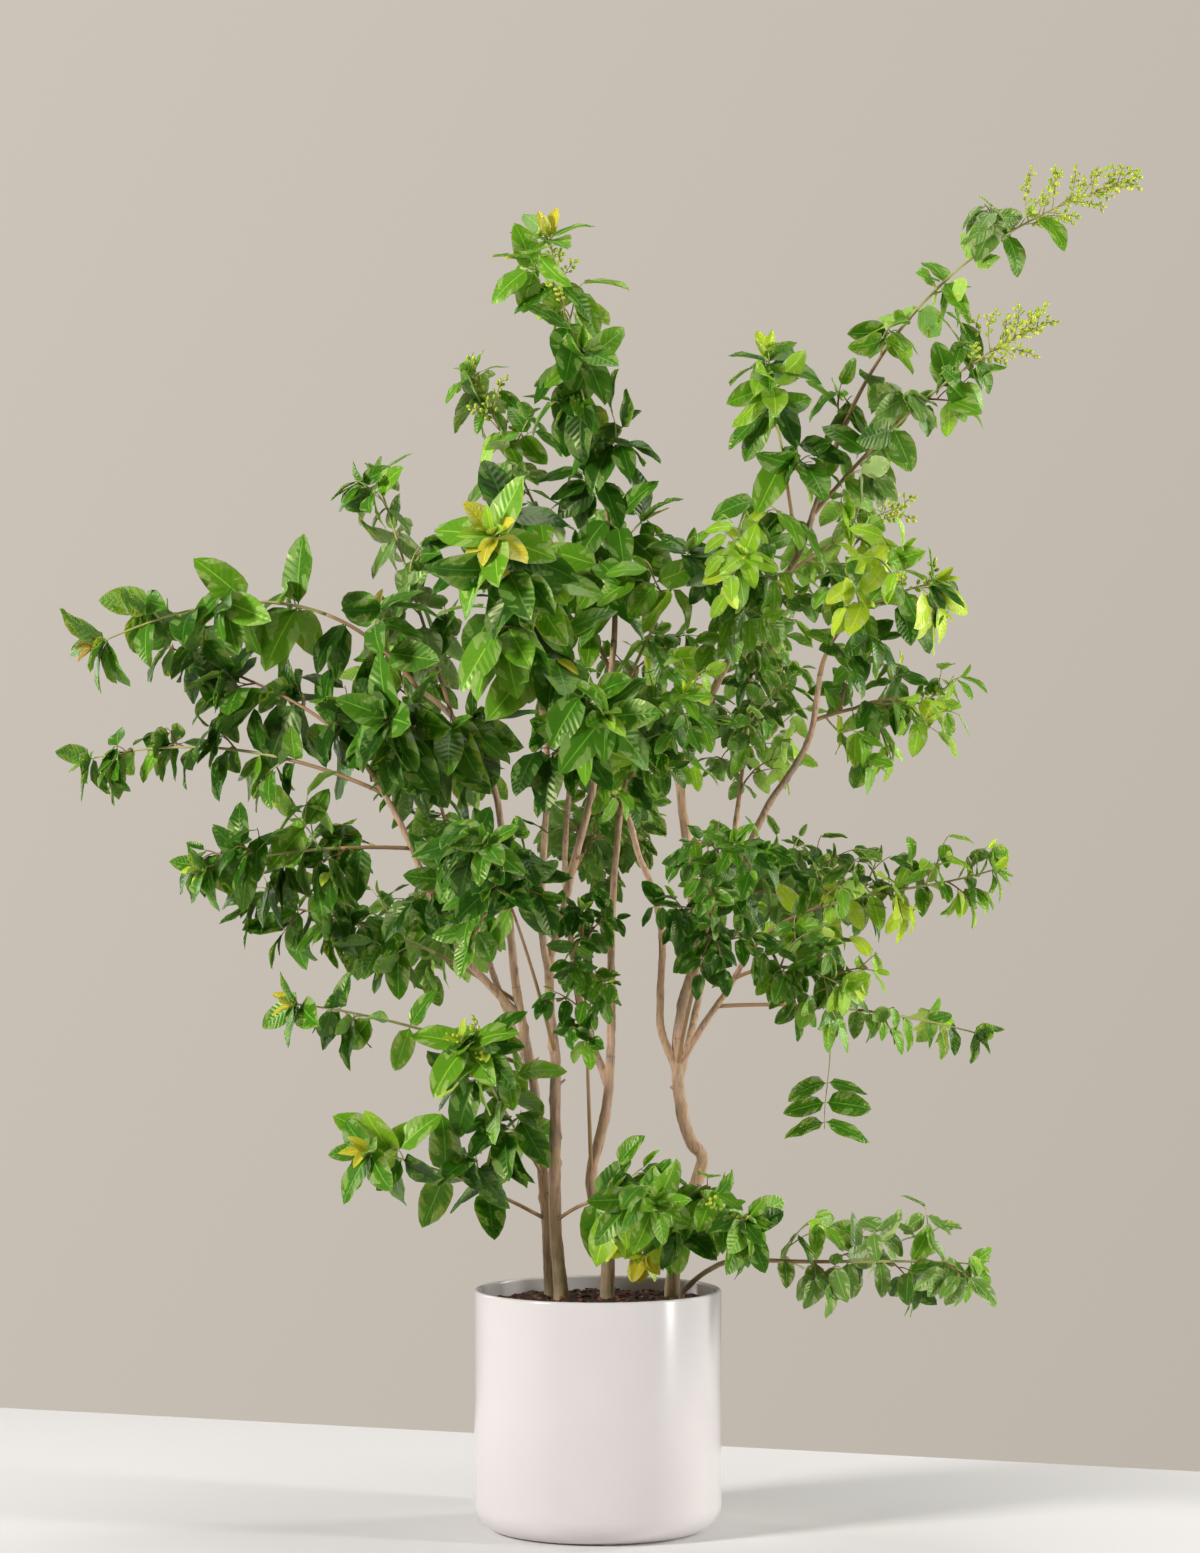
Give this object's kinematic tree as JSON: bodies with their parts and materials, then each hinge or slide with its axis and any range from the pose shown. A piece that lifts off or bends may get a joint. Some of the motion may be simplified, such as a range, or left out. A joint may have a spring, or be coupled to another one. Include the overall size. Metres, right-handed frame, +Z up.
{
  "type": "potted crape myrtle tree",
  "caption": "Multi-stemmed crape myrtle with an open, wide-reaching crown of small pointed leaves, standing in a plain white cylindrical pot with a rounded lower edge.",
  "frame": {"origin": "centre of the pot's flat underside", "axes": "+Z up along the pot's axis, -Y towards the front that the picture shows, +X to the right in the picture"},
  "size_m": [1.5136, 0.9443, 1.83],
  "materials": {
    "pot": "smooth satin off-white",
    "soil": "dark potting mix with bark chips",
    "bark": "thin flaking bark, tan with paler and greyer patches",
    "foliage": "glossy green leaves, yellow-green at the young tips"
  },
  "bodies": {
    "root": {"pot": "pot", "soil": "soil", "stem_left": "bark", "stem_centre": "bark", "stem_middle": "bark", "stem_right": "bark", "stem_low": "bark", "bough_left_long": "bark", "bough_left_high": "bark", "bough_centre": "bark", "bough_leader": "bark", "bough_middle_back": "bark", "bough_middle": "bark", "bough_right_inner": "bark", "bough_right_leader": "bark", "bough_right_upper": "bark", "bough_right_out": "bark", "bough_back_left": "bark", "bough_back_right": "bark", "foliage_left_high_arch": "foliage", "foliage_left_second_arch": "foliage", "foliage_left_third_arch": "foliage", "foliage_left_middle": "foliage", "foliage_left_under": "foliage", "foliage_left_low_arch": "foliage", "foliage_left_cluster": "foliage", "foliage_left_lowest_arch": "foliage", "foliage_left_core": "foliage", "foliage_left_inner": "foliage", "foliage_left_grey": "foliage", "foliage_leader": "foliage", "foliage_leader_side": "foliage", "foliage_rosette": "foliage", "foliage_centre_high": "foliage", "foliage_centre_front": "foliage", "foliage_centre_inner": "foliage", "foliage_centre_right": "foliage", "foliage_back_high": "foliage", "foliage_back_middle": "foliage", "foliage_front_left": "foliage", "foliage_front_right": "foliage", "foliage_centre_low": "foliage", "foliage_centre_low_right": "foliage", "foliage_middle_thin": "foliage", "foliage_right_long_shoot": "foliage", "foliage_right_second_shoot": "foliage", "foliage_right_leader": "foliage", "foliage_right_bud_shoot": "foliage", "foliage_right_side_upper": "foliage", "foliage_right_side_lower": "foliage", "foliage_right_core": "foliage", "foliage_right_middle_shoot": "foliage", "foliage_right_centre": "foliage", "foliage_right_sparse_shoot": "foliage", "foliage_low_right": "foliage", "foliage_base_sprout": "foliage", "foliage_back_right_high": "foliage", "foliage_back_right_low": "foliage", "foliage_back_left_high": "foliage", "foliage_back_left_low": "foliage"}
  },
  "joints": []
}
